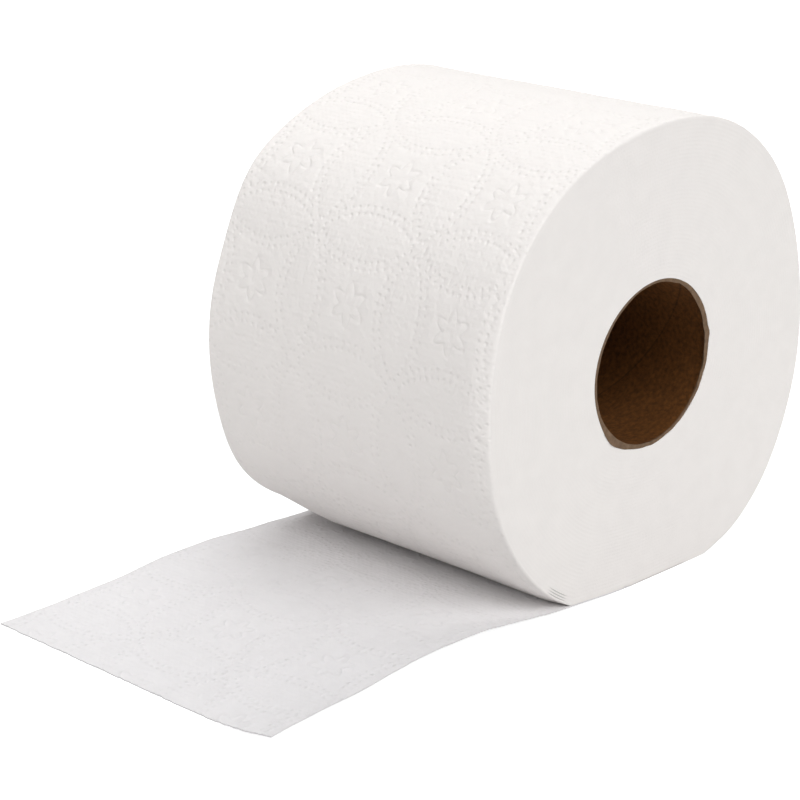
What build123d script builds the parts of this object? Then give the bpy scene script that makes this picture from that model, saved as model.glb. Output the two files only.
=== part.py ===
from build123d import *
import os
from math import cos, radians, sin

# Toilet roll lying on its side, with its last sheet drawn out along the floor.
# The origin is on the axis of the core, half way along it. +Y runs along the core,
# +Z is up, and the loose sheet runs towards -X.

# Driving sizes, in millimetres and degrees
sheet_width = 96.0
wound_radius = 62.15
core_bore_radius = 21.2
core_wall = 0.8

# How the soft roll has settled: four waves in its outer radius, with one to four crests
# round the roll, each given by its height and the bearing of one crest from +X
lean_height = 1.32
lean_bearing = -31.3
oval_height = 0.65
oval_bearing = 28.0
triangle_height = 0.49
triangle_bearing = -50.1
square_height = 1.29
square_bearing = -41.2
outline_arcs = 14
edge_rounding = 1.0

# The flat spot that the roll stands on, at the bearing of straight down
flat_spot_depth = 3.3
down_bearing = 270.0

# The loose sheet, from the nip where it leaves the roll to its torn end
sheet_thickness = 0.5
loose_length = 107.0
sheet_tuck = 8.0
lift_stations = [0.0, 0.12, 0.34, 0.66, 1.0]
near_edge_lift = [0.0, 1.9, 6.0, 4.7, 1.8]
middle_lift = [0.0, 0.9, 3.2, 2.6, 1.6]
far_edge_lift = [0.0, 0.3, 0.9, 0.5, 0.0]

# The wound turns, drawn on both ends as one spiral seam with coarse turns
turns_shown = 7
seam_points_per_turn = 12
seam_width = 0.7
seam_depth = 0.6
seam_margin = 0.6

# The spiral seam inside the core, where the edges of the inner ply meet
core_seam_pitch = 83.0
core_seam_width = 0.8
core_seam_depth = 0.25

core_radius = core_bore_radius + core_wall


def settled_radius(bearing):
    """Outer radius of the settled roll at a bearing from +X, before its flat spot."""
    waves = [(lean_height, lean_bearing), (oval_height, oval_bearing),
             (triangle_height, triangle_bearing), (square_height, square_bearing)]
    radius = wound_radius
    for crests, (height, crest_bearing) in enumerate(waves, start=1):
        radius += height * cos(radians(crests * (bearing - crest_bearing)))
    return radius


floor_drop = settled_radius(down_bearing) - flat_spot_depth


def outline_radius(bearing):
    """Outer radius of the roll at a bearing from +X, with its flat spot."""
    drop_share = -sin(radians(bearing))
    free_radius = settled_radius(bearing)
    if free_radius * drop_share > floor_drop:
        return floor_drop / drop_share
    return free_radius


def on_section(radius, bearing, y=0.0):
    """Point of the roll's section at a radius and bearing, at a place along the axis."""
    return Vector(radius * cos(radians(bearing)), y, radius * sin(radians(bearing)))


def flat_spot_corner(side):
    """Bearing at which the settled outline meets the floor, before (-1) or past (+1) straight down."""
    nearer, step = 0.0, 45.0
    while step > 1e-9:
        bearing = down_bearing + side * (nearer + step)
        if -settled_radius(bearing) * sin(radians(bearing)) > floor_drop:
            nearer += step
        step /= 2
    return down_bearing + side * nearer


left_corner = flat_spot_corner(-1)
right_corner = flat_spot_corner(1)


def settled_outline(y):
    """Arcs, each tangent to the one before, round the roll from one end of its flat spot to the other."""
    bearing = right_corner - 360
    step = (left_corner - bearing) / outline_arcs
    start = on_section(settled_radius(bearing), bearing, y)
    behind, ahead = [on_section(settled_radius(place), place, y) for place in (bearing - 1, bearing + 1)]
    heading = ahead - behind
    arcs = []
    for _ in range(outline_arcs):
        bearing += step
        stop = on_section(settled_radius(bearing), bearing, y)
        arcs.append(TangentArc(start, stop, tangent=heading))
        start = stop
        heading = arcs[-1] % 1
    return arcs


def wound_roll():
    """The wound web: a settled roll with a flat spot, soft edges and a hole for the core."""
    arcs = settled_outline(-sheet_width / 2)
    outline = Wire([*arcs, Line(arcs[-1] @ 1, arcs[0] @ 0)])
    roll = extrude(Face(outline), sheet_width, dir=(0, 1, 0))
    ends = roll.faces().sort_by(Axis.Y)
    roll = chamfer([*ends[0].edges(), *ends[-1].edges()], edge_rounding)
    return roll - Cylinder(core_radius, 2 * sheet_width, rotation=(90, 0, 0))


def sheet_profile(lifts, y):
    """Section along the loose sheet at one place across it, from its lift above the floor."""
    start = on_section(settled_radius(left_corner), left_corner)
    stations = [(start.X - share * loose_length, lift) for share, lift in zip(lift_stations, lifts)]
    under = [Vector(x, y, lift - floor_drop) for x, lift in stations]
    over = [point + Vector(0, 0, sheet_thickness) for point in under]
    tuck = Vector(sheet_tuck, 0, 0)
    flat_ahead = [(-1, 0, 0), (under[-1] - under[-2]).normalized()]
    below = Spline(*under, tangents=flat_ahead)
    above = Spline(*over, tangents=flat_ahead)
    corners = [over[0], over[0] + tuck, under[0] + tuck, under[0]]
    tucked = [Line(first, second) for first, second in zip(corners, corners[1:])]
    return Wire([below, Line(under[-1], over[-1]), above, *tucked])


def loose_sheet():
    """The drawn-out sheet: flat under the roll, arched beside it, clean at its torn end."""
    near = sheet_profile(near_edge_lift, -sheet_width / 2)
    middle = sheet_profile(middle_lift, 0)
    far = sheet_profile(far_edge_lift, sheet_width / 2)
    return Solid.make_loft([near, middle, far])


def turn_seam():
    """Wedge that cuts the seam between turns into the near end, from beside the nip to the core."""
    face_y = -sheet_width / 2
    point_count = turns_shown * seam_points_per_turn
    rim_margin = edge_rounding + seam_margin + seam_width / 2
    core_margin = seam_margin + seam_width / 2
    lips = {-1: [], 0: [], 1: []}
    for index in range(point_count + 1):
        turn = turns_shown * index / point_count
        bearing = left_corner + 360 * turn
        innermost = core_radius + core_margin
        outermost = outline_radius(bearing) - rim_margin
        radius = outermost + (innermost - outermost) * turn / turns_shown
        for side, points in lips.items():
            y = face_y + seam_depth if side == 0 else face_y
            points.append(on_section(radius + side * seam_width / 2, bearing, y))
    inner, root, outer = [Spline(*lips[side]) for side in (-1, 0, 1)]
    walls = [Face.make_surface_from_curves(inner, root), Face.make_surface_from_curves(root, outer)]
    lid = Face.make_surface_from_curves(inner, outer)
    caps = [Face(Wire.make_polygon([curve @ place for curve in (inner, root, outer)])) for place in (0, 1)]
    return Solid(Shell([*walls, lid, *caps]))


def ply_seam():
    """Wedge that cuts the winding seam into the bore of the core, from end to end."""
    reach = sheet_width + 2 * core_seam_width
    paths = []
    for shift, radius in ((-1, core_bore_radius - core_seam_depth),
                          (0, core_bore_radius + core_seam_depth),
                          (1, core_bore_radius - core_seam_depth)):
        low = -reach / 2 + shift * core_seam_width
        paths.append(Helix(core_seam_pitch, reach, radius, center=(0, 0, low)))
    walls = [Face.make_surface_from_curves(first, second) for first, second in zip(paths, paths[1:] + paths[:1])]
    caps = [Face(Wire.make_polygon([path @ place for path in paths])) for place in (0, 1)]
    return Solid(Shell([*walls, *caps])).rotate(Axis.X, 90)


def core_tube():
    """The cardboard tube, with the seam where the edges of its inner ply meet."""
    tube = Cylinder(core_radius, sheet_width, rotation=(90, 0, 0))
    tube -= Cylinder(core_bore_radius, 2 * sheet_width, rotation=(90, 0, 0))
    return tube - ply_seam()


seam = turn_seam()
paper = wound_roll() + loose_sheet()
paper -= [seam, mirror(seam, about=Plane.XZ)]
core = core_tube()

os.makedirs("parts", exist_ok=True)
export_step(paper, "parts/paper.step")
export_step(core, "parts/core.step")
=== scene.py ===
"""Dressed model of a toilet roll with its last sheet drawn out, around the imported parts."""
import math

import bmesh
import bpy
import numpy as np
from mathutils import Matrix, Vector, noise


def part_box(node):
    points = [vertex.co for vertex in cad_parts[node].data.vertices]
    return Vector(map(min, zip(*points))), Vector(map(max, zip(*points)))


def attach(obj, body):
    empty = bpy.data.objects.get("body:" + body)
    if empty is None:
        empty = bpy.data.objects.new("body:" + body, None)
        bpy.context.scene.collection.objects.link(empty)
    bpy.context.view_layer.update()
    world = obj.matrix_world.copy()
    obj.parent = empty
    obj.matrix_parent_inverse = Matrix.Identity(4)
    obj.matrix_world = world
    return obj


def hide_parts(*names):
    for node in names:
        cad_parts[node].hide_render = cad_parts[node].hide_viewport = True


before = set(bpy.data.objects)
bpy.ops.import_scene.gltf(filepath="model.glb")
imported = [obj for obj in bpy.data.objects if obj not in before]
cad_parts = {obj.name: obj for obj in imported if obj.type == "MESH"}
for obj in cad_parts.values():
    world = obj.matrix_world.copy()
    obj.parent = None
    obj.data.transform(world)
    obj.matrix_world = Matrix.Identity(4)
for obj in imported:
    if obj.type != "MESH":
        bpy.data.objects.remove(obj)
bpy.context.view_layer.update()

bl_info = {
    "name": "Toilet roll with a drawn-out sheet",
    "version": (1, 0, 0),
    "blender": (4, 5, 0),
    "location": "3D View > Sidebar > Toilet roll",
    "description": "Models a wound roll of embossed tissue, its loose sheet and its board core",
    "category": "Add Mesh",
}

# Lengths are in metres, as Blender's are, and millimetres are written times MM. Bearings are in
# degrees round the axis of the core, from +X towards +Z
MM = 0.001

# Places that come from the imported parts
paper_low, paper_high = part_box("paper")
core_low, core_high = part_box("core")
FLOOR_Z = paper_low.z
WEB_WIDTH = paper_high.y - paper_low.y
HALF_WIDTH = WEB_WIDTH / 2
CORE_OUTSIDE = (core_high.x - core_low.x) / 2

# How the soft roll has settled: crests round the roll, height of the wave, bearing of one crest
SETTLED_WAVES = ((1, 1.32 * MM, -31.3), (2, 0.65 * MM, 28.0), (3, 0.49 * MM, -50.1), (4, 1.29 * MM, -41.2))

# Where handling and its own weight have left the roll's outline fuller or flatter: two places along
# the axis between which the spot grows to its full height, its bearing, half width and height
SOFT_SPOTS = (
    (-60 * MM, -50 * MM, 245, 9, 0.45 * MM),
    (-60 * MM, -50 * MM, 304, 8, 0.9 * MM),
    (-60 * MM, -50 * MM, 316, 12, 0.9 * MM),
    (10 * MM, -48 * MM, 245, 9, 0.55 * MM),
    (20 * MM, -48 * MM, 355, 24, 1.1 * MM),
    (20 * MM, -48 * MM, 38, 10, 0.2 * MM),
    (10 * MM, -48 * MM, 220, 12, -0.5 * MM),
    (-15 * MM, -43 * MM, 185, 35, 0.9 * MM),
    (-42.5 * MM, -53 * MM, 185, 35, -3.0 * MM),
    (-40 * MM, -48 * MM, 243, 8, -0.7 * MM),
    (0, 48 * MM, 135, 10, 0.65 * MM),
    (0, 48 * MM, 156, 12, -1.1 * MM),
    (0, 48 * MM, 184, 16, 0.4 * MM),
    (0, 48 * MM, 213, 9, 0.35 * MM),
    (30 * MM, 48 * MM, 240, 14, -2.1 * MM),
    (30 * MM, 48 * MM, 250, 8, -1.3 * MM),
)

# The outline comes down to the floor only where its bearing is this near straight down, as the
# sine of the angle below level
NEAR_DOWN = 0.5

# Gap that keeps the roll, its loose sheet and the floor from lying in one plane, and the length
# over which the roll comes down to the floor past the sheet's tucked end
CLEARANCE = 0.02 * MM
TUCK_EASE = 2 * MM

# The rims are pressed sharper on the flat spot, which the two angles from its middle ease off, and
# the near one also beside the nip
FLAT_SPOT_BEARING = 269
FLAT_SPOT_EASE = (20, 32)
NIP_RIM_BEARING = 240
NIP_RIM_HALF_WIDTH = 8
RIM_SHARPENING = 0.75

# Height of the loose sheet above the floor in millimetres, from under the roll, past the nip
# at 0, to its torn end
LIFT_SHARES = (-0.16, 0.0, 0.12, 0.24, 0.36, 0.50, 0.66, 0.82, 1.0)
NEAR_LIFTS = (0.0, 1.0, 1.9, 3.6, 5.15, 5.0, 4.15, 2.6, 0.0)
MIDDLE_LIFTS = (0.0, 0.0, 1.0, 2.2, 3.2, 3.0, 2.0, 1.0, 0.0)
FAR_LIFTS = (0.0, 0.0, 0.3, 0.9, 1.8, 1.45, 0.0, 0.0, 0.0)

# The near corner of the torn end curls up, and the whole end has slid aside
CORNER_CURL = 1.95 * MM
CURL_SHARES = (0.7, 1.0)
CURL_STEEPNESS = 2.15
SIDEWAYS_DRIFT = -1.6 * MM
DRIFT_SHARES = (0.62, 0.9)

# Height and size of the soft waves of the loose sheet, and of the fraying of its torn end
SHEET_WAVES = ((0.35 * MM, 22 * MM), (0.12 * MM, 7 * MM))
WAVING_SHARES = (0.02, 0.2)
FRAYING = (0.18 * MM, 1.5 * MM)
FRAYED_SHARES = (0.975, 1.0)

# The embossing: petals of a blossom and how far they swell, widths of its lines, and how much
# of each depth is pressed into the meshes and into the bump that sharpens them
PETALS = 6
PETAL_SWELL = 0.28
CHANNEL_WIDTH = 2.5 * MM
BLOSSOM_LINE = 0.7 * MM
BLOSSOM_EYE = 1.0 * MM
BLOSSOM_BUMP_LINE = 0.9 * MM
MESH_DOT_SPREAD = 1.3
MESH_DOT_SHARE = 0.7
MESH_BLOSSOM_SHARE = 0.8
LOOSE_SHEET_SHARE = 0.8
BUMP_DOT_SPREAD = 1.2
BUMP_BLOSSOM_SHARE = 0.45
FINE_DOT_SPREAD = 0.45

# Where the embossing fades towards the rims, by radius share and by distance from the middle of the
# web, how far the tissue stands out between its dots, and the size of the soft dents of the side
EMBOSSED_RADII = (0.97, 0.999)
EMBOSSED_FADE = (45 * MM, 47 * MM)
SIDE_LOFT = 0.1 * MM
DENT_SIZE = 24 * MM

# How the mouth of the core is pressed out of round and aside, as waves like the roll's, how much
# smaller it has become, how deep that reaches, and how the far mouth shares in it
MOUTH_WAVES = ((1, 0.29 * MM, -17), (2, 0.74 * MM, 18))
MOUTH_SHRINK = 0.08 * MM
MOUTH_REACH = (0.2 * WEB_WIDTH, HALF_WIDTH)
FAR_MOUTH_SHARE = 0.5

# Tears of the near lip of the core: bearing, half width and height of each, how deep they reach,
# and how much of their height they also stand out past the end
LIP_TEARS = ((230, 15, 0.9 * MM), (8, 4, 0.3 * MM))
LIP_DEPTH = 3 * MM
LIP_FLARE = 0.35

# The core's bore is crumpled at its mouth, by a mean height and in waves, and the cut edge of the
# board is ragged and uneven: height and size of its unevenness, and how far it is cut back
CRUMPLE = 0.24 * MM
CRUMPLE_WAVES = ((1, 0.12 * MM, 0), (2, -0.32 * MM, -66), (3, -0.19 * MM, -42))
CRUMPLE_DEPTH = 1.5 * MM
RAGGED_SIZE = 2.2 * MM
RAGGED_RADIUS = 0.08 * MM
RAGGED_LENGTH = 0.15 * MM
UNEVEN_CUT = (0.2 * MM, 5 * MM)
CUT_BACK = 0.1 * MM

# The winding seam of the core: depth and width of its groove, and the height and length of the
# overlap beside it
SEAM_GROOVE = (0.22 * MM, 0.8 * MM)
SEAM_OVERLAP = (0.15 * MM, 6 * MM)

# Fineness of the meshes: radii of the rings on the ends, and how many roundings of the rim the
# outermost one lies in from the side, segments of a rounded rim, columns of the core, and how often
# each wall is cut into rows, and each of those rows again
END_RINGS = (52 * MM, 40 * MM, 30 * MM)
BESIDE_RIM = 1.5
RIM_SEGMENTS = 6
CORE_COLUMNS = 256
ROLL_CUTS = (11, 11)
CORE_CUTS = (9, 11)

# Bearings between which the nip is sought with their step, and steps round the turn that is measured
NIP_SEARCH = (200, 270, 0.01)
TURN_STEPS = 3600

# Faces are shaded as one below these angles between them, and belong to an end of the roll where
# their normal is this near its axis
TUBE_SMOOTH_ANGLE = 45
SHEET_SMOOTH_ANGLE = 50
END_FACING = 0.9

# Vertices closer than these are at one place along the axis, or at one radius
SAME_PLACE = 0.001 * MM
SAME_RADIUS = 0.01 * MM


def linear_colour(hex_code):
    """Linear RGBA of an sRGB hex colour."""
    shades = [int(hex_code[place:place + 2], 16) / 255 for place in (0, 2, 4)]
    linear = [shade / 12.92 if shade <= 0.04045 else ((shade + 0.055) / 1.055) ** 2.4 for shade in shades]
    return (*linear, 1.0)


def length_property(name, description, default):
    """A length that a user can change, shown in the scene's units."""
    return bpy.props.FloatProperty(name=name, description=description, default=default, min=0.0,
                                   unit="LENGTH", subtype="DISTANCE", precision=5)


def colour_property(name, description, hex_code):
    """A colour that a user can change."""
    return bpy.props.FloatVectorProperty(name=name, description=description, default=linear_colour(hex_code),
                                         size=4, min=0.0, max=1.0, subtype="COLOR")


class RollSizes(bpy.types.PropertyGroup):
    """Sizes of the roll, its embossing and its core."""
    wound_radius: length_property("Wound radius", "Mean radius of the wound roll", 62.15 * MM)
    edge_rounding: length_property("Edge rounding", "Rounding of the rim of each end", 0.65 * MM)
    columns: bpy.props.IntProperty(name="Columns", description="Faces round the roll", default=594, min=66)
    sheet_thickness: length_property("Sheet thickness", "Thickness of the embossed tissue", 0.35 * MM)
    loose_length: length_property("Loose length", "Sheet in view, from the nip to its torn end", 108.0 * MM)
    sheet_length: length_property("Sheet length", "One sheet, from perforation to perforation", 125 * MM)
    sheet_grid: length_property("Sheet grid", "Side of one face of the loose sheet", 0.65 * MM)
    circle_pitch: length_property("Circle pitch", "Spacing of the overlapping circles", 34 * MM)
    dot_spacing: length_property("Dot spacing", "Spacing of the dots along each circle", 2.1 * MM)
    row_gap: length_property("Row gap", "Distance between the two rows of dots of a circle", 2.0 * MM)
    dot_radius: length_property("Dot radius", "Radius of one embossed dot", 0.6 * MM)
    dot_depth: length_property("Dot depth", "Depth of the dots on the circles", 0.14 * MM)
    fine_spacing: length_property("Fine spacing", "Spacing of the fine dots between the circles", 1.5 * MM)
    fine_depth: length_property("Fine depth", "Depth of the fine dots", 0.05 * MM)
    channel_depth: length_property("Channel depth", "Depth of the soft channel along each circle", 0.06 * MM)
    blossom_radius: length_property("Blossom radius", "Mean radius of the small blossoms", 4.3 * MM)
    blossom_depth: length_property("Blossom depth", "Depth of the line of the blossoms", 0.22 * MM)
    dent_depth: length_property("Dent depth", "Height of the soft unevenness of the roll's side", 0.15 * MM)
    core_wall: length_property("Core wall", "Thickness of the board core", 0.8 * MM)
    seam_pitch: length_property("Seam pitch", "Length of core for one turn of its winding seam", 83 * MM)
    seam_start: bpy.props.FloatProperty(name="Seam start", description="Turn at which the seam starts",
                                        default=0.905)


class RollColours(bpy.types.PropertyGroup):
    """Colours of the tissue, the board and the stage."""
    tissue: colour_property("Tissue", "Outer face of the embossed tissue", "FAF6F3")
    cut_edges: colour_property("Cut edges", "The cut edges of the turns, seen on both ends", "F8F4F1")
    inner_face: colour_property("Inner face", "Inner face of the tissue, seen on the loose sheet", "E6E4E5")
    board: colour_property("Board", "Inside of the cardboard core", "6C431C")
    board_rim: colour_property("Board rim", "Cut rim of the cardboard core", "7C6550")
    floor: colour_property("Floor", "Pale studio floor", "E0E0E0")


def deselect_all():
    bpy.ops.object.select_all(action="DESELECT")


def name_new_object(name):
    """Names the object that was just added, and its mesh."""
    piece = bpy.context.object
    piece.name = name
    piece.data.name = name
    return piece


def points_of(mesh):
    """The vertices of a mesh, one row each."""
    flat = np.empty(len(mesh.vertices) * 3)
    mesh.vertices.foreach_get("co", flat)
    return flat.reshape(-1, 3)


def move_points(mesh, points):
    mesh.vertices.foreach_set("co", points.ravel())
    mesh.update()


def add_attribute(mesh, name, kind, values):
    """Stores a value or a vector at each vertex, for a material to read."""
    field = "vector" if kind == "FLOAT_VECTOR" else "value"
    attribute = mesh.attributes.new(name, kind, "POINT")
    attribute.data.foreach_set(field, np.asarray(values, dtype=np.float32).ravel())


def soft_noise(points, size):
    """Smooth noise from -1 to 1 at each point, with lumps of about that size."""
    return np.array([noise.noise(Vector(point) / size) for point in points])


def smooth_step(values, low, high):
    """Rises smoothly from 0 at low to 1 at high."""
    share = np.clip((values - low) / (high - low), 0, 1)
    return share * share * (3 - 2 * share)


def hill(distance, width):
    """A smooth hill of height 1 that has nearly gone at twice its width."""
    return np.exp(-(distance / width) ** 2)


def smooth_through(stations, heights, places):
    """A smooth line through heights at stations, read at places between them. It is level at the first
    one and at each crest and hollow, so that it never swings past a height."""
    stations, heights = np.asarray(stations), np.asarray(heights)
    rises = np.diff(heights) / np.diff(stations)
    slopes = np.append(np.zeros(len(rises)), rises[-1])
    onwards = rises[:-1] * rises[1:] > 0
    slopes[1:-1][onwards] = 2 / (1 / rises[:-1][onwards] + 1 / rises[1:][onwards])
    left = np.clip(np.searchsorted(stations, places, side="right") - 1, 0, len(stations) - 2)
    span = stations[left + 1] - stations[left]
    t = (places - stations[left]) / span
    start = heights[left] * (2 * t**3 - 3 * t**2 + 1) + slopes[left] * span * (t**3 - 2 * t**2 + t)
    stop = heights[left + 1] * (3 * t**2 - 2 * t**3) + slopes[left + 1] * span * (t**3 - t**2)
    return start + stop


def waves_round(bearing, waves):
    """Sum of waves round a ring, each given by its crests, its height and the bearing of one crest."""
    return sum(height * np.cos(np.radians(crests * (bearing - crest_bearing)))
               for crests, height, crest_bearing in waves)


def turned_from(bearing, centre):
    """Angle from one bearing to another, from -180 to 180 degrees."""
    return (bearing - centre + 180) % 360 - 180


def settled_radius(bearing, sizes):
    """Outer radius of the settled roll at a bearing, before its soft spots and its flat spot."""
    return sizes.wound_radius + waves_round(bearing, SETTLED_WAVES)


def nip_bearing(sizes):
    """Bearing at which the settled roll meets the floor on the side of the loose sheet."""
    bearings = np.arange(*NIP_SEARCH)
    heights = settled_radius(bearings, sizes) * np.sin(np.radians(bearings))
    return float(bearings[heights < FLOOR_Z][0])


def nip_x(sizes):
    """Where along X the loose sheet leaves the roll."""
    return FLOOR_Z / math.tan(math.radians(nip_bearing(sizes)))


def tuck_stop(sizes):
    """Where along X the loose sheet ends under the roll."""
    return nip_x(sizes) + sizes.sheet_length - sizes.loose_length


def soft_spots(bearing, y):
    """Height of the fuller and flatter places of the outline."""
    return sum(top * hill(turned_from(bearing, centre), half_width) * smooth_step(y, start, full)
               for start, full, centre, half_width, top in SOFT_SPOTS)


def outline_radius(bearing, y, sizes):
    """Outer radius of the roll with its flat spot, at bearings and places along its axis."""
    free_radius = settled_radius(bearing, sizes) + soft_spots(bearing, y)
    drop_share = -np.sin(np.radians(bearing))
    low_enough = drop_share > NEAR_DOWN
    drop_share = np.where(low_enough, drop_share, 1.0)
    x = -FLOOR_Z * np.cos(np.radians(bearing)) / drop_share
    on_sheet = 1 - smooth_step(x, tuck_stop(sizes) - TUCK_EASE, tuck_stop(sizes))
    rest_z = FLOOR_Z + sheet_lift(x, y, sizes) + on_sheet * (sizes.sheet_thickness + CLEARANCE)
    return np.where(low_enough, np.minimum(free_radius, -rest_z / drop_share), free_radius)


def sheet_lift(x, y, sizes):
    """Height of the loose sheet above the floor, which is 0 where it is tucked well under the roll."""
    share = np.clip((nip_x(sizes) - x) / sizes.loose_length, LIFT_SHARES[0], LIFT_SHARES[-1])
    near, middle, far = [MM * smooth_through(LIFT_SHARES, lifts, share)
                         for lifts in (NEAR_LIFTS, MIDDLE_LIFTS, FAR_LIFTS)]
    side = 2 * y / WEB_WIDTH
    arch = middle + side * (far - near) / 2 + side**2 * ((far + near) / 2 - middle)
    at_corner = np.clip(-CURL_STEEPNESS * side - 1, 0, 2)**2
    return np.maximum(arch, 0) + CORNER_CURL * smooth_step(share, *CURL_SHARES) * at_corner


def web_places(bearing, sizes):
    """Distance from the torn end along the web, at bearings on the outer turn of the roll."""
    start = nip_bearing(sizes)
    turned = np.linspace(0, 360, TURN_STEPS + 1)
    radius = outline_radius(start + turned, 0.0, sizes)
    outline = radius * np.exp(1j * np.radians(start + turned))
    lengths = np.concatenate([[0], np.cumsum(np.abs(np.diff(outline)))])
    return sizes.loose_length + np.interp((bearing - start) % 360, turned, lengths)


def dot_step(sizes):
    """Angle between the dots of a circle, with a whole number of them in each eighth of it."""
    around = 2 * math.pi * sizes.circle_pitch / math.sqrt(2)
    return 2 * math.pi / (8 * round(around / sizes.dot_spacing / 8))


def embossed_depth(along, across, sizes):
    """How far the embossing presses the tissue in, at places along and across the web.

    Circles with two rows of dots overlap so that they make four-petalled flowers, with a small
    six-petalled blossom in each space between the flowers."""
    pitch = sizes.circle_pitch
    radius = pitch / math.sqrt(2)
    off_along = along - np.round(along / pitch) * pitch
    off_across = across - np.round(across / pitch) * pitch
    farther = np.maximum(np.abs(off_along), np.abs(off_across))
    nearer = np.minimum(np.abs(off_along), np.abs(off_across))
    off_line = np.hypot(pitch - farther, nearer) - radius
    angle = np.arctan2(nearer, pitch - farther)
    off_dot = radius * (angle - dot_step(sizes) * np.round(angle / dot_step(sizes)))
    off_row = np.abs(off_line) - sizes.row_gap / 2
    dots = hill(np.hypot(off_row, off_dot), MESH_DOT_SPREAD * sizes.dot_radius)
    petals = 1 + PETAL_SWELL * np.cos(PETALS * np.arctan2(off_across, off_along))
    from_middle = np.hypot(off_along, off_across)
    blossom = hill(from_middle - sizes.blossom_radius * petals, BLOSSOM_LINE) + hill(from_middle, BLOSSOM_EYE)
    return (MESH_DOT_SHARE * sizes.dot_depth * dots + sizes.channel_depth * hill(off_line, CHANNEL_WIDTH)
            + MESH_BLOSSOM_SHARE * sizes.blossom_depth * blossom)


def mouth_shift(bearing, y):
    """How far the core's mouth has been pressed out of round and aside, which fades into the roll."""
    nearness = smooth_step(np.abs(y), *MOUTH_REACH)
    share = np.where(y < 0, nearness, FAR_MOUTH_SHARE * nearness)
    return share * (waves_round(bearing, MOUTH_WAVES) - MOUTH_SHRINK)


def torn_lip(bearing, y):
    """How far the near mouth of the core is torn outwards: widely at its lower left, and in a nick."""
    at_lip = smooth_step(-y, HALF_WIDTH - LIP_DEPTH, HALF_WIDTH)
    return at_lip * sum(height * hill(turned_from(bearing, centre), half_width)
                        for centre, half_width, height in LIP_TEARS)


def select_edges(piece, wanted):
    """In edit mode, selects the edges for which wanted(first end, second end) holds."""
    bpy.ops.mesh.select_all(action="DESELECT")
    work = bmesh.from_edit_mesh(piece.data)
    for edge in work.edges:
        edge.select = wanted(edge.verts[0].co, edge.verts[1].co)
    bmesh.update_edit_mesh(piece.data)


def at_radius(tip, radius):
    return abs(math.hypot(tip.x, tip.z) - radius) < SAME_RADIUS


def ring_at(radius):
    """Test for the edges that lie along an end of a tube, at a radius."""
    def on_ring(tip):
        return abs(abs(tip.y) - HALF_WIDTH) < SAME_PLACE and at_radius(tip, radius)

    def holds(first, second):
        return abs(first.y - second.y) < SAME_PLACE and on_ring(first) and on_ring(second)
    return holds


def wall_line_at(radius):
    """Test for the edges that run along a tube's wall, from end to end."""
    def holds(first, second):
        return abs(first.x - second.x) + abs(first.z - second.z) < SAME_PLACE and at_radius(first, radius)
    return holds


def add_tube(name, columns, walked_radii, rounding, cuts):
    """A tube along Y over the web's width. Its first wall is cut into rows, and each end then
    runs through the other radii to the last wall."""
    deselect_all()
    wall_radius = walked_radii[0]
    bpy.ops.mesh.primitive_cylinder_add(vertices=columns, radius=wall_radius, depth=WEB_WIDTH,
                                        end_fill_type="NOTHING", rotation=(math.pi / 2, 0, 0))
    piece = name_new_object(name)
    bpy.ops.object.transform_apply(location=True, rotation=True, scale=True)
    bpy.ops.object.mode_set(mode="EDIT")
    bpy.ops.mesh.select_mode(type="EDGE")
    for near, far in zip(walked_radii, walked_radii[1:]):
        select_edges(piece, ring_at(near))
        bpy.ops.mesh.extrude_edges_move()
        share = far / near
        bpy.ops.transform.resize(value=(share, 1, share), center_override=(0, 0, 0))
    select_edges(piece, ring_at(walked_radii[-1]))
    bpy.ops.mesh.bridge_edge_loops()
    if rounding:
        select_edges(piece, ring_at(wall_radius))
        bpy.ops.mesh.bevel(offset=rounding, segments=RIM_SEGMENTS, profile=0.5, affect="EDGES")
    for count in cuts:
        select_edges(piece, wall_line_at(wall_radius))
        bpy.ops.mesh.subdivide(number_cuts=count)
    bpy.ops.mesh.select_all(action="SELECT")
    bpy.ops.mesh.normals_make_consistent(inside=False)
    bpy.ops.object.mode_set(mode="OBJECT")
    bpy.ops.object.shade_smooth_by_angle(angle=math.radians(TUBE_SMOOTH_ANGLE))
    return piece


def polar(points):
    """Bearing, radius and y of each point."""
    bearing = np.degrees(np.arctan2(points[:, 2], points[:, 0])) % 360
    return bearing, np.hypot(points[:, 0], points[:, 2]), points[:, 1]


def to_points(bearing, radius, y):
    angle = np.radians(bearing)
    return np.stack([radius * np.cos(angle), y, radius * np.sin(angle)], axis=1)


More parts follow.
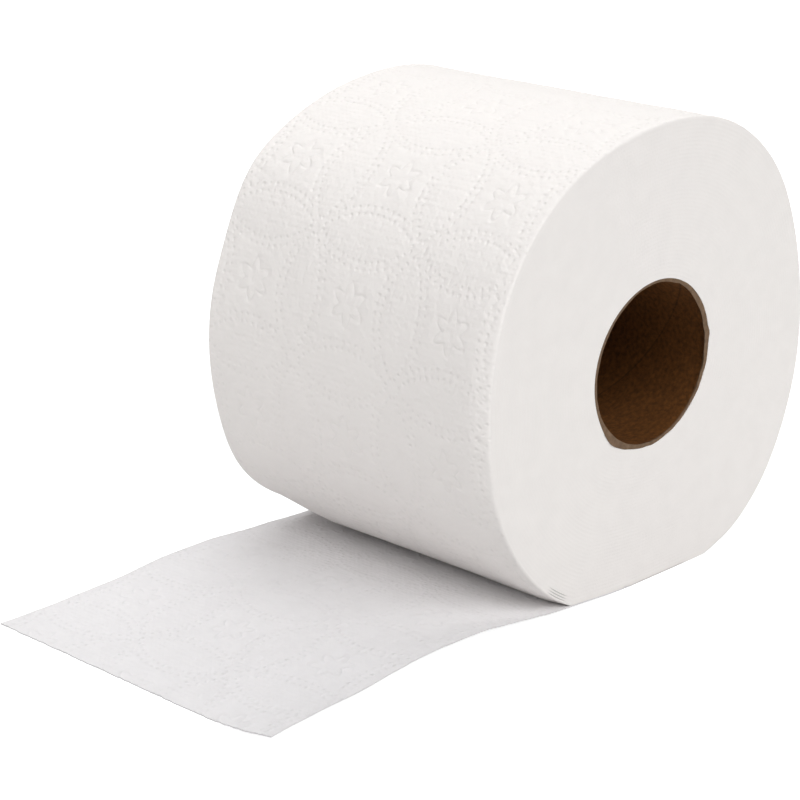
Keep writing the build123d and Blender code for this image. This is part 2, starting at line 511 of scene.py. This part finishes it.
def add_wound_roll(sizes):
    """The wound web, one closed mesh: embossed side, rounded rims, ends and the wall round the core."""
    beside_rim = sizes.wound_radius - BESIDE_RIM * sizes.edge_rounding
    radii = [sizes.wound_radius, beside_rim, *END_RINGS, CORE_OUTSIDE]
    piece = add_tube("wound_roll", sizes.columns, radii, sizes.edge_rounding, ROLL_CUTS)
    bearing, radius, y = polar(points_of(piece.data))
    radius, y = sharpen_flat_rims(bearing, radius, y, sizes)
    share = (radius - CORE_OUTSIDE) / (sizes.wound_radius - CORE_OUTSIDE)
    inner = CORE_OUTSIDE + mouth_shift(bearing, y) + torn_lip(bearing, y)
    settled = inner + share * (outline_radius(bearing, y, sizes) - inner)

    along = web_places(bearing, sizes)
    on_side = smooth_step(share, *EMBOSSED_RADII) * (1 - smooth_step(np.abs(y), *EMBOSSED_FADE))
    dents = sizes.dent_depth * soft_noise(to_points(bearing, radius, y), DENT_SIZE)
    depth = on_side * embossed_depth(along, y, sizes)
    moved = to_points(bearing, settled + share * (dents + SIDE_LOFT) - depth, y)
    lowest = sheet_lift(moved[:, 0], y, sizes) + sizes.sheet_thickness + CLEARANCE
    lowest = np.where(moved[:, 0] < tuck_stop(sizes), lowest, 0)
    moved[:, 2] = np.maximum(moved[:, 2], FLOOR_Z + lowest)
    move_points(piece.data, moved)
    add_attribute(piece.data, "turn_share", "FLOAT", share)
    add_attribute(piece.data, "web", "FLOAT_VECTOR", np.stack([along, y, 0 * y], axis=1))
    assign_ends(piece, sizes)
    return piece


def sharpen_flat_rims(bearing, radius, y, sizes):
    """Radius and y of each point, with the rims pressed sharper where the roll lies on its flat spot,
    and the near one also beside the nip."""
    rounding = sizes.edge_rounding + SAME_RADIUS
    on_rim = (np.abs(y) > HALF_WIDTH - rounding) & (radius > sizes.wound_radius - rounding)
    on_flat = 1 - smooth_step(np.abs(bearing - FLAT_SPOT_BEARING), *FLAT_SPOT_EASE)
    beside_nip = hill(bearing - NIP_RIM_BEARING, NIP_RIM_HALF_WIDTH) * (y < 0)
    kept = 1 - RIM_SHARPENING * np.maximum(on_flat, beside_nip)
    sharper_radius = sizes.wound_radius - kept * (sizes.wound_radius - radius)
    sharper_y = np.sign(y) * (HALF_WIDTH - kept * (HALF_WIDTH - np.abs(y)))
    return np.where(on_rim, sharper_radius, radius), np.where(on_rim, sharper_y, y)


def assign_ends(piece, sizes):
    """Gives the flat ends the second material, and the side and rims the first."""
    piece.data.materials.append(embossed_tissue(bpy.context.scene.roll_colours, sizes))
    piece.data.materials.append(cut_tissue_edges(bpy.context.scene.roll_colours))
    normals = np.empty(len(piece.data.polygons) * 3)
    piece.data.polygons.foreach_get("normal", normals)
    on_end = (np.abs(normals.reshape(-1, 3)[:, 1]) > END_FACING).astype(np.int32)
    piece.data.polygons.foreach_set("material_index", on_end)


def add_loose_sheet(sizes):
    """The drawn-out sheet: arched beside the roll, with its far end tucked under it."""
    deselect_all()
    across_count = round(WEB_WIDTH / sizes.sheet_grid)
    along_count = round(sizes.sheet_length / sizes.sheet_grid)
    bpy.ops.mesh.primitive_grid_add(x_subdivisions=along_count, y_subdivisions=across_count, size=1)
    piece = name_new_object("loose_sheet")
    bpy.ops.transform.resize(value=(sizes.sheet_length, WEB_WIDTH, 1))
    bpy.ops.object.transform_apply(location=True, rotation=True, scale=True)
    points = points_of(piece.data)
    along = points[:, 0] + sizes.sheet_length / 2
    y = points[:, 1]
    share = (sizes.loose_length - along) / sizes.loose_length
    x = nip_x(sizes) - sizes.loose_length + along
    lift = sheet_lift(x, y, sizes)
    embossed = LOOSE_SHEET_SHARE * embossed_depth(along, y, sizes)
    waves = sum(height * soft_noise(points + shift, size) for shift, (height, size) in enumerate(SHEET_WAVES))
    loose = smooth_step(share, *WAVING_SHARES)
    height = lift + loose * (embossed + np.maximum(waves, -lift)) + CLEARANCE
    drift = SIDEWAYS_DRIFT * smooth_step(share, *DRIFT_SHARES)
    fray_height, fray_size = FRAYING
    torn = smooth_step(share, *FRAYED_SHARES) * fray_height * soft_noise(points + 2, fray_size)
    move_points(piece.data, np.stack([x + torn, y + drift, FLOOR_Z + height], axis=1))
    add_attribute(piece.data, "web", "FLOAT_VECTOR", np.stack([along, y, 0 * y], axis=1))
    thickness = piece.modifiers.new("thickness", "SOLIDIFY")
    thickness.thickness = sizes.sheet_thickness
    thickness.offset = 1.0
    bpy.ops.object.modifier_apply(modifier="thickness")
    bpy.ops.object.shade_smooth_by_angle(angle=math.radians(SHEET_SMOOTH_ANGLE))
    piece.data.materials.append(sheet_inner_face(bpy.context.scene.roll_colours, sizes))
    return piece


def add_core_tube(sizes):
    """The board core: a spiral-wound tube with a seam inside and a worn, uneven mouth."""
    bore = CORE_OUTSIDE - sizes.core_wall
    piece = add_tube("core_tube", CORE_COLUMNS, [bore, CORE_OUTSIDE], 0, CORE_CUTS)
    points = points_of(piece.data)
    bearing, radius, y = polar(points)
    inside = 1 - smooth_step(radius, bore, CORE_OUTSIDE)
    at_mouth = smooth_step(np.abs(y), HALF_WIDTH - CRUMPLE_DEPTH, HALF_WIDTH)
    seam = sizes.seam_pitch * ((bearing / 360 + y / sizes.seam_pitch + sizes.seam_start) % 1 - 0.5)
    groove_depth, groove_width = SEAM_GROOVE
    overlap_height, overlap_length = SEAM_OVERLAP
    groove = groove_depth * hill(seam, groove_width)
    overlap = overlap_height * np.where(seam > 0, np.exp(-seam / overlap_length), 0)
    crumpled = (CRUMPLE + waves_round(bearing, CRUMPLE_WAVES)) * at_mouth
    ragged = soft_noise(points, RAGGED_SIZE)
    lip = torn_lip(bearing, y)
    radius = radius + mouth_shift(bearing, y) + inside * (groove - overlap - crumpled) + (1 - inside) * lip
    radius = radius + at_mouth * RAGGED_RADIUS * ragged
    cut_height, cut_size = UNEVEN_CUT
    outwards = cut_height * soft_noise(points + 3, cut_size) + RAGGED_LENGTH * ragged - CUT_BACK
    y = y + np.sign(y) * (at_mouth**4 * outwards + LIP_FLARE * lip)
    move_points(piece.data, to_points(bearing, radius, y))
    add_attribute(piece.data, "seam", "FLOAT", np.where(inside > 0.5, seam, sizes.seam_pitch))
    piece.data.materials.append(core_board(bpy.context.scene.roll_colours))
    return piece


# Setting of a Map Range node that eases from one level to the other
EASED = {"interpolation_type": "SMOOTHSTEP"}

# The range in which most values of a noise texture lie, and how much of the strength of a colour's
# patches goes into the lighter ones
NOISE_RANGE = (0.3, 0.7)
LIGHTER_SHARE = 0.3

# Soft patches of lighter and darker colour on each material: their size and their strength
TISSUE_PATCHES = (9 * MM, 0.012)
INNER_FACE_PATCHES = (5 * MM, 0.02)
CUT_EDGE_PATCHES = (6 * MM, 0.02)
BOARD_PATCHES = (1.0 * MM, 0.45)
BOARD_RIM_PATCHES = (1.5 * MM, 0.3)

# Sizes of the tissue's pattern of fibres, of the crepe lines and of the soft lumps, and the height
# of the first two. Real fibres are far finer, and are drawn as coarse as they need to show
FIBRE_SIZE = 0.5 * MM
CREPE_SIZE = 0.7 * MM
LUMP_SIZE = 2.2 * MM
FIBRE_HEIGHT = 0.05 * MM

# How the pattern is stretched into crepe lines, across the web on the roll and along it on the
# sheet's inner face, and the height of the soft lumps on each
ROLL_CREPE = (1.0, 0.3, 1.0)
ROLL_LUMP_HEIGHT = 0.35 * MM
SHEET_CREPE = (0.3, 1.0, 1.0)
SHEET_LUMP_HEIGHT = 0.26 * MM

# Share of the fine dots' depth in the ground between the petals, the darkening in the pits of the dots,
# partly their pressed plies and partly painted shade, and the heights between which it eases off, as shares
# of the dots' depth
GROUND_SHARE = 0.4
PIT_TONE_AND_SHADE = 0.98
PIT_HEIGHTS = (-1.2, -0.2)

# Rings drawn on the ends, from the core to the rim. Each stands for about three real turns, which
# are about 0.34 mm apart and too fine to show
RINGS_SHOWN = 40
RING_STRENGTH = 0.4
RING_PATCH_SIZE = 8 * MM
CUT_FIBRE_SIZE = 0.6 * MM
CUT_HEIGHT = 0.06 * MM

# The slits between the last turns: how many would fit between the core and the rim, the part of
# each one's wave that is open, the radius shares from which they show, their bearing in radians,
# the angles from it that ease them off, and their depth and the painted shade in them
SLITS_ACROSS = 62
SLIT_WAVE = (0.2, 1.0)
SLIT_SHARES = (0.93, 0.95)
SLIT_BEARING = -2.16
SLIT_EASE = (0.02, 0.09)
SLIT_DEPTH = 0.1 * MM
SLIT_PAINTED_SHADE = 0.62

# The board: distances from its end between which the colour of its cut rim eases off, the darkening
# of its seam, partly its joint and partly painted shade of its groove, and the distances between which
# that eases off, and the size and height of its fibres
RIM_EASE = (0.7 * MM, 0.2 * MM)
SEAM_JOINT_AND_SHADE = 0.65
SEAM_SHADE_EASE = (0.1 * MM, 0.4 * MM)
BOARD_FIBRE_SIZE = 0.5 * MM
BOARD_FIBRE_HEIGHT = 0.08 * MM


def add_node(tree, kind, inputs=(), **settings):
    """Adds a shader node, sets its settings, and sets or links its inputs, given in order or by name.
    A node that is given as an input is linked from its first output."""
    node = tree.nodes.new("ShaderNode" + kind)
    for name, value in settings.items():
        setattr(node, name, value)
    for socket, value in inputs.items() if isinstance(inputs, dict) else enumerate(inputs):
        if isinstance(value, bpy.types.Node):
            value = value.outputs[0]
        if isinstance(value, bpy.types.NodeSocket):
            tree.links.new(value, node.inputs[socket])
        else:
            node.inputs[socket].default_value = value
    return node


def new_material(name):
    """A new material and its node tree, emptied."""
    material = bpy.data.materials.new(name)
    material.use_nodes = True
    tree = material.node_tree
    tree.nodes.clear()
    return material, tree


def mottled(tree, colour, place, size, strength):
    """The colour, made lighter and darker by soft patches of a real size."""
    patches = add_node(tree, "TexNoise", {"Vector": place, "Scale": 1 / size, "Detail": 3.0})
    shade = add_node(tree, "MapRange", (patches, *NOISE_RANGE, 1 - strength, 1 + LIGHTER_SHARE * strength))
    return add_node(tree, "VectorMath", {0: colour[:3], "Scale": shade}, operation="SCALE")


def paper_shader(tree, colour, height):
    """Matt paper with a bump of a height in metres, finished to its output."""
    bump = add_node(tree, "Bump", {"Strength": 1.0, "Distance": 1.0, "Height": height})
    paper = add_node(tree, "BsdfPrincipled", {
        "Base Color": colour, "Roughness": 0.95, "IOR": 1.47, "Specular IOR Level": 0.2,
        "Sheen Weight": 0.1, "Sheen Roughness": 0.6, "Normal": bump})
    add_node(tree, "OutputMaterial", {"Surface": paper})


def fibre_height(tree, place, crepe_axis_scale, lump_height):
    """Height in metres of the tissue's fibres, its soft lumps and its crepe lines."""
    fibres = add_node(tree, "TexNoise", {"Vector": place, "Scale": 1 / FIBRE_SIZE, "Detail": 4.0})
    stretched = add_node(tree, "VectorMath", (place, crepe_axis_scale), operation="MULTIPLY")
    crepe = add_node(tree, "TexNoise", {"Vector": stretched, "Scale": 1 / CREPE_SIZE, "Detail": 2.0})
    lumps = add_node(tree, "TexNoise", {"Vector": place, "Scale": 1 / LUMP_SIZE, "Detail": 1.0})
    both = add_node(tree, "Math", (fibres, crepe), operation="ADD")
    fine = add_node(tree, "Math", (both, FIBRE_HEIGHT), operation="MULTIPLY")
    return add_node(tree, "Math", (lumps, lump_height, fine), operation="MULTIPLY_ADD")


def length_of(tree, across, along):
    """Length of a line, from its two components."""
    line = add_node(tree, "CombineXYZ", (across, along))
    return add_node(tree, "VectorMath", (line,), operation="LENGTH").outputs["Value"]


def folded_axes(tree, web, pitch):
    """Distance along and across the web to the nearest place of a grid of that pitch."""
    apart = add_node(tree, "SeparateXYZ", (web,))
    return [add_node(tree, "Math", (apart.outputs[axis], pitch / 2), operation="PINGPONG") for axis in "XY"]


def dot_height(tree, web, sizes):
    """Height in metres of the embossing that is too fine for the mesh, below 0 where it is pressed in.

    Its dots lie on the same circles as the mesh's dots and sharpen them, and finer ones fill the
    petals and, more faintly, the ground. Folding the web along the circles' lattice leaves one
    eighth of a circle."""
    pitch = sizes.circle_pitch
    radius = pitch / math.sqrt(2)
    folded = folded_axes(tree, web, pitch)
    nearer = add_node(tree, "Math", folded, operation="MINIMUM")
    farther = add_node(tree, "Math", folded, operation="MAXIMUM")
    off_centre = add_node(tree, "Math", (pitch, farther), operation="SUBTRACT")
    off_line = add_node(tree, "Math", (length_of(tree, off_centre, nearer), radius), operation="SUBTRACT")
    angle = add_node(tree, "Math", (nearer, off_centre), operation="ARCTAN2")
    off_angle = add_node(tree, "Math", (angle, dot_step(sizes) / 2), operation="PINGPONG")
    off_dot = add_node(tree, "Math", (off_angle, radius), operation="MULTIPLY")
    beside_line = add_node(tree, "Math", (off_line,), operation="ABSOLUTE")
    off_row = add_node(tree, "Math", (beside_line, sizes.row_gap / 2), operation="SUBTRACT")
    from_dot = length_of(tree, off_row, off_dot)
    reach = BUMP_DOT_SPREAD * sizes.dot_radius
    dots = add_node(tree, "MapRange", (from_dot, 0.0, reach, -sizes.dot_depth, 0.0), **EASED)
    from_fine = length_of(tree, *folded_axes(tree, web, sizes.fine_spacing))
    fine_reach = FINE_DOT_SPREAD * sizes.fine_spacing
    fine = add_node(tree, "MapRange", (from_fine, 0.0, fine_reach, -sizes.fine_depth, 0.0), **EASED)
    filled = add_node(tree, "MapRange", (off_line, -CHANNEL_WIDTH, CHANNEL_WIDTH, 1.0, GROUND_SHARE), **EASED)
    height = add_node(tree, "Math", (fine, filled, dots), operation="MULTIPLY_ADD")
    return add_node(tree, "Math", (height, blossom_height(tree, folded, sizes)), operation="ADD")


def blossom_height(tree, folded, sizes):
    """Height in metres of the line round each blossom, which sharpens the mesh's one."""
    angle = add_node(tree, "Math", (folded[1], folded[0]), operation="ARCTAN2")
    phase = add_node(tree, "Math", (angle, PETALS), operation="MULTIPLY")
    swell = add_node(tree, "Math", (phase,), operation="COSINE")
    reach = add_node(tree, "Math", (swell, PETAL_SWELL * sizes.blossom_radius, sizes.blossom_radius),
                     operation="MULTIPLY_ADD")
    off_reach = add_node(tree, "Math", (length_of(tree, *folded), reach), operation="SUBTRACT")
    off_line = add_node(tree, "Math", (off_reach,), operation="ABSOLUTE")
    depth = BUMP_BLOSSOM_SHARE * sizes.blossom_depth
    return add_node(tree, "MapRange", (off_line, 0.0, BLOSSOM_BUMP_LINE, -depth, 0.0), **EASED)


def pits_pressed_and_shaded(tree, colour, height, sizes):
    """The colour, a little darker in the pits of the dots: partly where the plies are pressed together, and
    partly painted shade of the pits.
    """
    pit, top = [share * sizes.dot_depth for share in PIT_HEIGHTS]
    # Painted shade: the pits of the dots are darkened in colour, as well as for the plies pressed together
    # there
    shade = add_node(tree, "MapRange", (height, pit, top, PIT_TONE_AND_SHADE, 1.0), **EASED)
    return add_node(tree, "VectorMath", {0: colour, "Scale": shade}, operation="SCALE")


def embossed_tissue(colours, sizes):
    """White three-ply tissue, creped and embossed: quite matt, with a faint fuzz of fibres."""
    material, tree = new_material("embossed_tissue")
    place = add_node(tree, "TexCoord").outputs["Object"]
    web = add_node(tree, "Attribute", attribute_name="web").outputs["Vector"]
    dots = dot_height(tree, web, sizes)
    colour = pits_pressed_and_shaded(tree, mottled(tree, colours.tissue, place, *TISSUE_PATCHES), dots, sizes)
    fibres = fibre_height(tree, web, ROLL_CREPE, ROLL_LUMP_HEIGHT)
    paper_shader(tree, colour, add_node(tree, "Math", (dots, fibres), operation="ADD"))
    return material


def sheet_inner_face(colours, sizes):
    """The thin tissue by itself: greyer than the roll, because light passes through it. Its dots
    stand out, because they are seen from behind."""
    material, tree = new_material("sheet_inner_face")
    place = add_node(tree, "TexCoord").outputs["Object"]
    web = add_node(tree, "Attribute", attribute_name="web").outputs["Vector"]
    dots = dot_height(tree, web, sizes)
    patched = mottled(tree, colours.inner_face, place, *INNER_FACE_PATCHES)
    colour = pits_pressed_and_shaded(tree, patched, dots, sizes)
    fibres = fibre_height(tree, web, SHEET_CREPE, SHEET_LUMP_HEIGHT)
    paper_shader(tree, colour, add_node(tree, "Math", (fibres, dots), operation="SUBTRACT"))
    return material


def parted_turns(tree, share, bearing, y):
    """1 in the thin slits where the last turns part on the near end beside the nip, and 0 elsewhere."""
    phase = add_node(tree, "Math", (share, 2 * math.pi * SLITS_ACROSS), operation="MULTIPLY")
    wave = add_node(tree, "Math", (phase,), operation="COSINE")
    parted = add_node(tree, "MapRange", (wave, *SLIT_WAVE, 0.0, 1.0), **EASED)
    off_nip = add_node(tree, "Math", (bearing, SLIT_BEARING), operation="SUBTRACT")
    aside = add_node(tree, "Math", (off_nip,), operation="ABSOLUTE")
    beside_nip = add_node(tree, "MapRange", (aside, *SLIT_EASE, 1.0, 0.0), **EASED)
    outermost = add_node(tree, "MapRange", (share, *SLIT_SHARES, 0.0, 1.0), **EASED)
    near_end = add_node(tree, "Math", (y, 0.0), operation="LESS_THAN")
    for limit in (beside_nip, outermost, near_end):
        parted = add_node(tree, "Math", (parted, limit), operation="MULTIPLY")
    return parted


def cut_tissue_edges(colours):
    """The knife-cut edges of the turns, pressed into a soft flat face with faint rings, with painted shade in
    the slits where the last turns part.
    """
    material, tree = new_material("cut_tissue_edges")
    place = add_node(tree, "TexCoord").outputs["Object"]
    share = add_node(tree, "Attribute", attribute_name="turn_share").outputs["Fac"]
    apart = add_node(tree, "SeparateXYZ", (place,))
    bearing = add_node(tree, "Math", (apart.outputs["Z"], apart.outputs["X"]), operation="ARCTAN2")
    part_turn = add_node(tree, "Math", (bearing, 2 * math.pi), operation="DIVIDE")
    turns = add_node(tree, "Math", (share, RINGS_SHOWN, part_turn), operation="MULTIPLY_ADD")
    phase = add_node(tree, "Math", (turns, 2 * math.pi), operation="MULTIPLY")
    wave = add_node(tree, "Math", (phase,), operation="SINE")
    patches = add_node(tree, "TexNoise", {"Vector": place, "Scale": 1 / RING_PATCH_SIZE, "Detail": 2.0})
    rings = add_node(tree, "Math", (wave, patches), operation="MULTIPLY")
    fibres = add_node(tree, "TexNoise", {"Vector": place, "Scale": 1 / CUT_FIBRE_SIZE, "Detail": 4.0})
    rough = add_node(tree, "Math", (rings, RING_STRENGTH, fibres), operation="MULTIPLY_ADD")
    height = add_node(tree, "Math", (rough, CUT_HEIGHT), operation="MULTIPLY")
    parted = parted_turns(tree, share, bearing, apart.outputs["Y"])
    # Painted shade: the slits where the last turns part are darkened in colour
    shade = add_node(tree, "MapRange", (parted, 0.0, 1.0, 1.0, SLIT_PAINTED_SHADE), **EASED)
    patched = mottled(tree, colours.cut_edges, place, *CUT_EDGE_PATCHES)
    colour = add_node(tree, "VectorMath", {0: patched, "Scale": shade}, operation="SCALE")
    slit = add_node(tree, "Math", (parted, -SLIT_DEPTH, height), operation="MULTIPLY_ADD")
    paper_shader(tree, colour, slit)
    return material


def core_board(colours):
    """Grey-brown spiral-wound chipboard: dull and fibrous, darker in its seam: partly the joint itself and
    partly painted shade of its groove.
    """
    material, tree = new_material("core_board")
    place = add_node(tree, "TexCoord").outputs["Object"]
    apart = add_node(tree, "SeparateXYZ", (place,))
    from_middle = add_node(tree, "Math", (apart.outputs["Y"],), operation="ABSOLUTE")
    start, full = [HALF_WIDTH - distance for distance in RIM_EASE]
    rim = add_node(tree, "MapRange", (from_middle, start, full, 0.0, 1.0), **EASED)
    inside = mottled(tree, colours.board, place, *BOARD_PATCHES)
    edge = mottled(tree, colours.board_rim, place, *BOARD_RIM_PATCHES)
    colour = add_node(tree, "Mix", {0: rim, 6: inside, 7: edge}, data_type="RGBA")
    seam = add_node(tree, "Attribute", attribute_name="seam").outputs["Fac"]
    off_seam = add_node(tree, "Math", (seam,), operation="ABSOLUTE")
    # Partly painted shade: the seam is darkened in colour for its joint and for the shade of its groove
    shade = add_node(tree, "MapRange", (off_seam, *SEAM_SHADE_EASE, SEAM_JOINT_AND_SHADE, 1.0), **EASED)
    shaded = add_node(tree, "VectorMath", {0: colour.outputs[2], "Scale": shade}, operation="SCALE")
    fibres = add_node(tree, "TexNoise", {"Vector": place, "Scale": 1 / BOARD_FIBRE_SIZE, "Detail": 5.0})
    bump = add_node(tree, "Bump", {"Strength": 1.0, "Distance": BOARD_FIBRE_HEIGHT, "Height": fibres})
    board = add_node(tree, "BsdfPrincipled", {
        "Base Color": shaded, "Roughness": 0.85, "IOR": 1.47, "Specular IOR Level": 0.25, "Normal": bump})
    add_node(tree, "OutputMaterial", {"Surface": board})
    return material


# The camera that took the reference view: its place, bearing, height angle, roll and lens
CAMERA_PLACE = (-463.918 * MM, -406.907 * MM, 184.603 * MM)
CAMERA_BEARING = -46.177
CAMERA_HEIGHT_ANGLE = 18.421
CAMERA_ROLL = 0.212
LENS_MM = 111.46
SENSOR_MM = 36
NEAREST_SEEN = 10 * MM

# Each lamp's name, the direction towards it and its strength, and how wide all of them look
LAMPS = (
    ("front_lamp", (0.0, -0.7, 0.7), 1.95),
    ("back_lamp", (0.5, 0.5, 0.7), 1.15),
    ("left_lamp", (-0.7, 0.2, 0.7), 1.14),
)
LAMP_SPREAD = 50
WORLD_STRENGTH = 0.1

# The floor's side, and how much the camera sees it lifted towards the white background
FLOOR_SIDE = 8
FLOOR_LIFT = 0.85


def add_camera():
    data = bpy.data.cameras.new("camera")
    data.lens = LENS_MM
    data.sensor_width = SENSOR_MM
    data.clip_start = NEAREST_SEEN
    camera = bpy.data.objects.new("camera", data)
    bpy.context.scene.collection.objects.link(camera)
    turn = (Matrix.Rotation(math.radians(CAMERA_BEARING), 4, "Z")
            @ Matrix.Rotation(math.radians(90 - CAMERA_HEIGHT_ANGLE), 4, "X")
            @ Matrix.Rotation(math.radians(CAMERA_ROLL), 4, "Z"))
    camera.matrix_world = Matrix.Translation(CAMERA_PLACE) @ turn
    bpy.context.scene.camera = camera


def add_sun(name, towards, strength):
    """A far lamp that shines from a direction, with soft edges to its shadows."""
    data = bpy.data.lights.new(name, "SUN")
    data.energy = strength
    data.angle = math.radians(LAMP_SPREAD)
    lamp = bpy.data.objects.new(name, data)
    bpy.context.scene.collection.objects.link(lamp)
    lamp.rotation_mode = "QUATERNION"
    lamp.rotation_quaternion = Vector(towards).to_track_quat("Z", "Y")


def pale_floor(colours):
    """Pale painted floor, lifted for the camera so that it meets the white background."""
    material, tree = new_material("pale_floor")
    paint = add_node(tree, "BsdfDiffuse", {"Color": colours.floor})
    path = add_node(tree, "LightPath")
    seen = path.outputs["Is Camera Ray"]
    for ray in ("Is Glossy Ray", "Is Transmission Ray"):
        seen = add_node(tree, "Math", (seen, path.outputs[ray]), operation="MAXIMUM")
    strength = add_node(tree, "Math", (seen, FLOOR_LIFT), operation="MULTIPLY")
    lift = add_node(tree, "Emission", {"Strength": strength})
    add_node(tree, "OutputMaterial", {"Surface": add_node(tree, "AddShader", (paint, lift))})
    return material


def add_world():
    """Even white light, and a white background for the camera."""
    world = bpy.data.worlds.new("studio")
    bpy.context.scene.world = world
    world.use_nodes = True
    tree = world.node_tree
    tree.nodes.clear()
    path = add_node(tree, "LightPath")
    strength = add_node(tree, "MapRange", {
        "Value": path.outputs["Is Camera Ray"], "To Min": WORLD_STRENGTH, "To Max": 1.0})
    light = add_node(tree, "Background", {"Color": (1.0, 1.0, 1.0, 1.0), "Strength": strength})
    add_node(tree, "OutputWorld", {"Surface": light})


class ROLL_OT_wound_roll(bpy.types.Operator):
    """Add the wound roll of embossed tissue"""
    bl_idname = "toilet_roll.wound_roll"
    bl_label = "Wound roll"

    def execute(self, context):
        piece = add_wound_roll(context.scene.roll_sizes)
        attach(piece, "root")
        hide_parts("paper")
        return {"FINISHED"}


class ROLL_OT_loose_sheet(bpy.types.Operator):
    """Add the sheet that is drawn out along the floor"""
    bl_idname = "toilet_roll.loose_sheet"
    bl_label = "Loose sheet"

    def execute(self, context):
        sizes = context.scene.roll_sizes
        piece = add_loose_sheet(sizes)
        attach(piece, "root")
        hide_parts("paper")
        return {"FINISHED"}


class ROLL_OT_core_tube(bpy.types.Operator):
    """Add the cardboard core"""
    bl_idname = "toilet_roll.core_tube"
    bl_label = "Core tube"

    def execute(self, context):
        piece = add_core_tube(context.scene.roll_sizes)
        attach(piece, "root")
        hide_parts("core")
        return {"FINISHED"}


class ROLL_OT_stage(bpy.types.Operator):
    """Add the floor, the lamps and the camera"""
    bl_idname = "toilet_roll.stage"
    bl_label = "Stage"

    def execute(self, context):
        deselect_all()
        bpy.ops.mesh.primitive_plane_add(size=FLOOR_SIDE, location=(0, 0, FLOOR_Z))
        floor = name_new_object("floor")
        bpy.ops.object.transform_apply(location=True, rotation=True, scale=True)
        floor.data.materials.append(pale_floor(context.scene.roll_colours))
        add_world()
        for lamp in LAMPS:
            add_sun(*lamp)
        add_camera()
        context.scene.view_settings.view_transform = "Standard"
        return {"FINISHED"}


class ROLL_PT_panel(bpy.types.Panel):
    """Lists the pieces and their sizes and colours"""
    bl_idname = "ROLL_PT_panel"
    bl_label = "Toilet roll"
    bl_space_type = "VIEW_3D"
    bl_region_type = "UI"
    bl_category = "Toilet roll"

    def draw(self, context):
        for operator in OPERATORS:
            self.layout.operator(operator.bl_idname)
        for settings in (context.scene.roll_sizes, context.scene.roll_colours):
            for name in settings.__annotations__:
                self.layout.prop(settings, name)


OPERATORS = (ROLL_OT_wound_roll, ROLL_OT_loose_sheet, ROLL_OT_core_tube, ROLL_OT_stage)
CLASSES = (RollSizes, RollColours, *OPERATORS, ROLL_PT_panel)


def register():
    for each in CLASSES:
        bpy.utils.register_class(each)
    bpy.types.Scene.roll_sizes = bpy.props.PointerProperty(type=RollSizes)
    bpy.types.Scene.roll_colours = bpy.props.PointerProperty(type=RollColours)


def unregister():
    del bpy.types.Scene.roll_colours
    del bpy.types.Scene.roll_sizes
    for each in reversed(CLASSES):
        bpy.utils.unregister_class(each)


def main():
    register()
    bpy.ops.toilet_roll.wound_roll()
    bpy.ops.toilet_roll.loose_sheet()
    bpy.ops.toilet_roll.core_tube()
    bpy.ops.toilet_roll.stage()


if __name__ == "__main__":
    main()
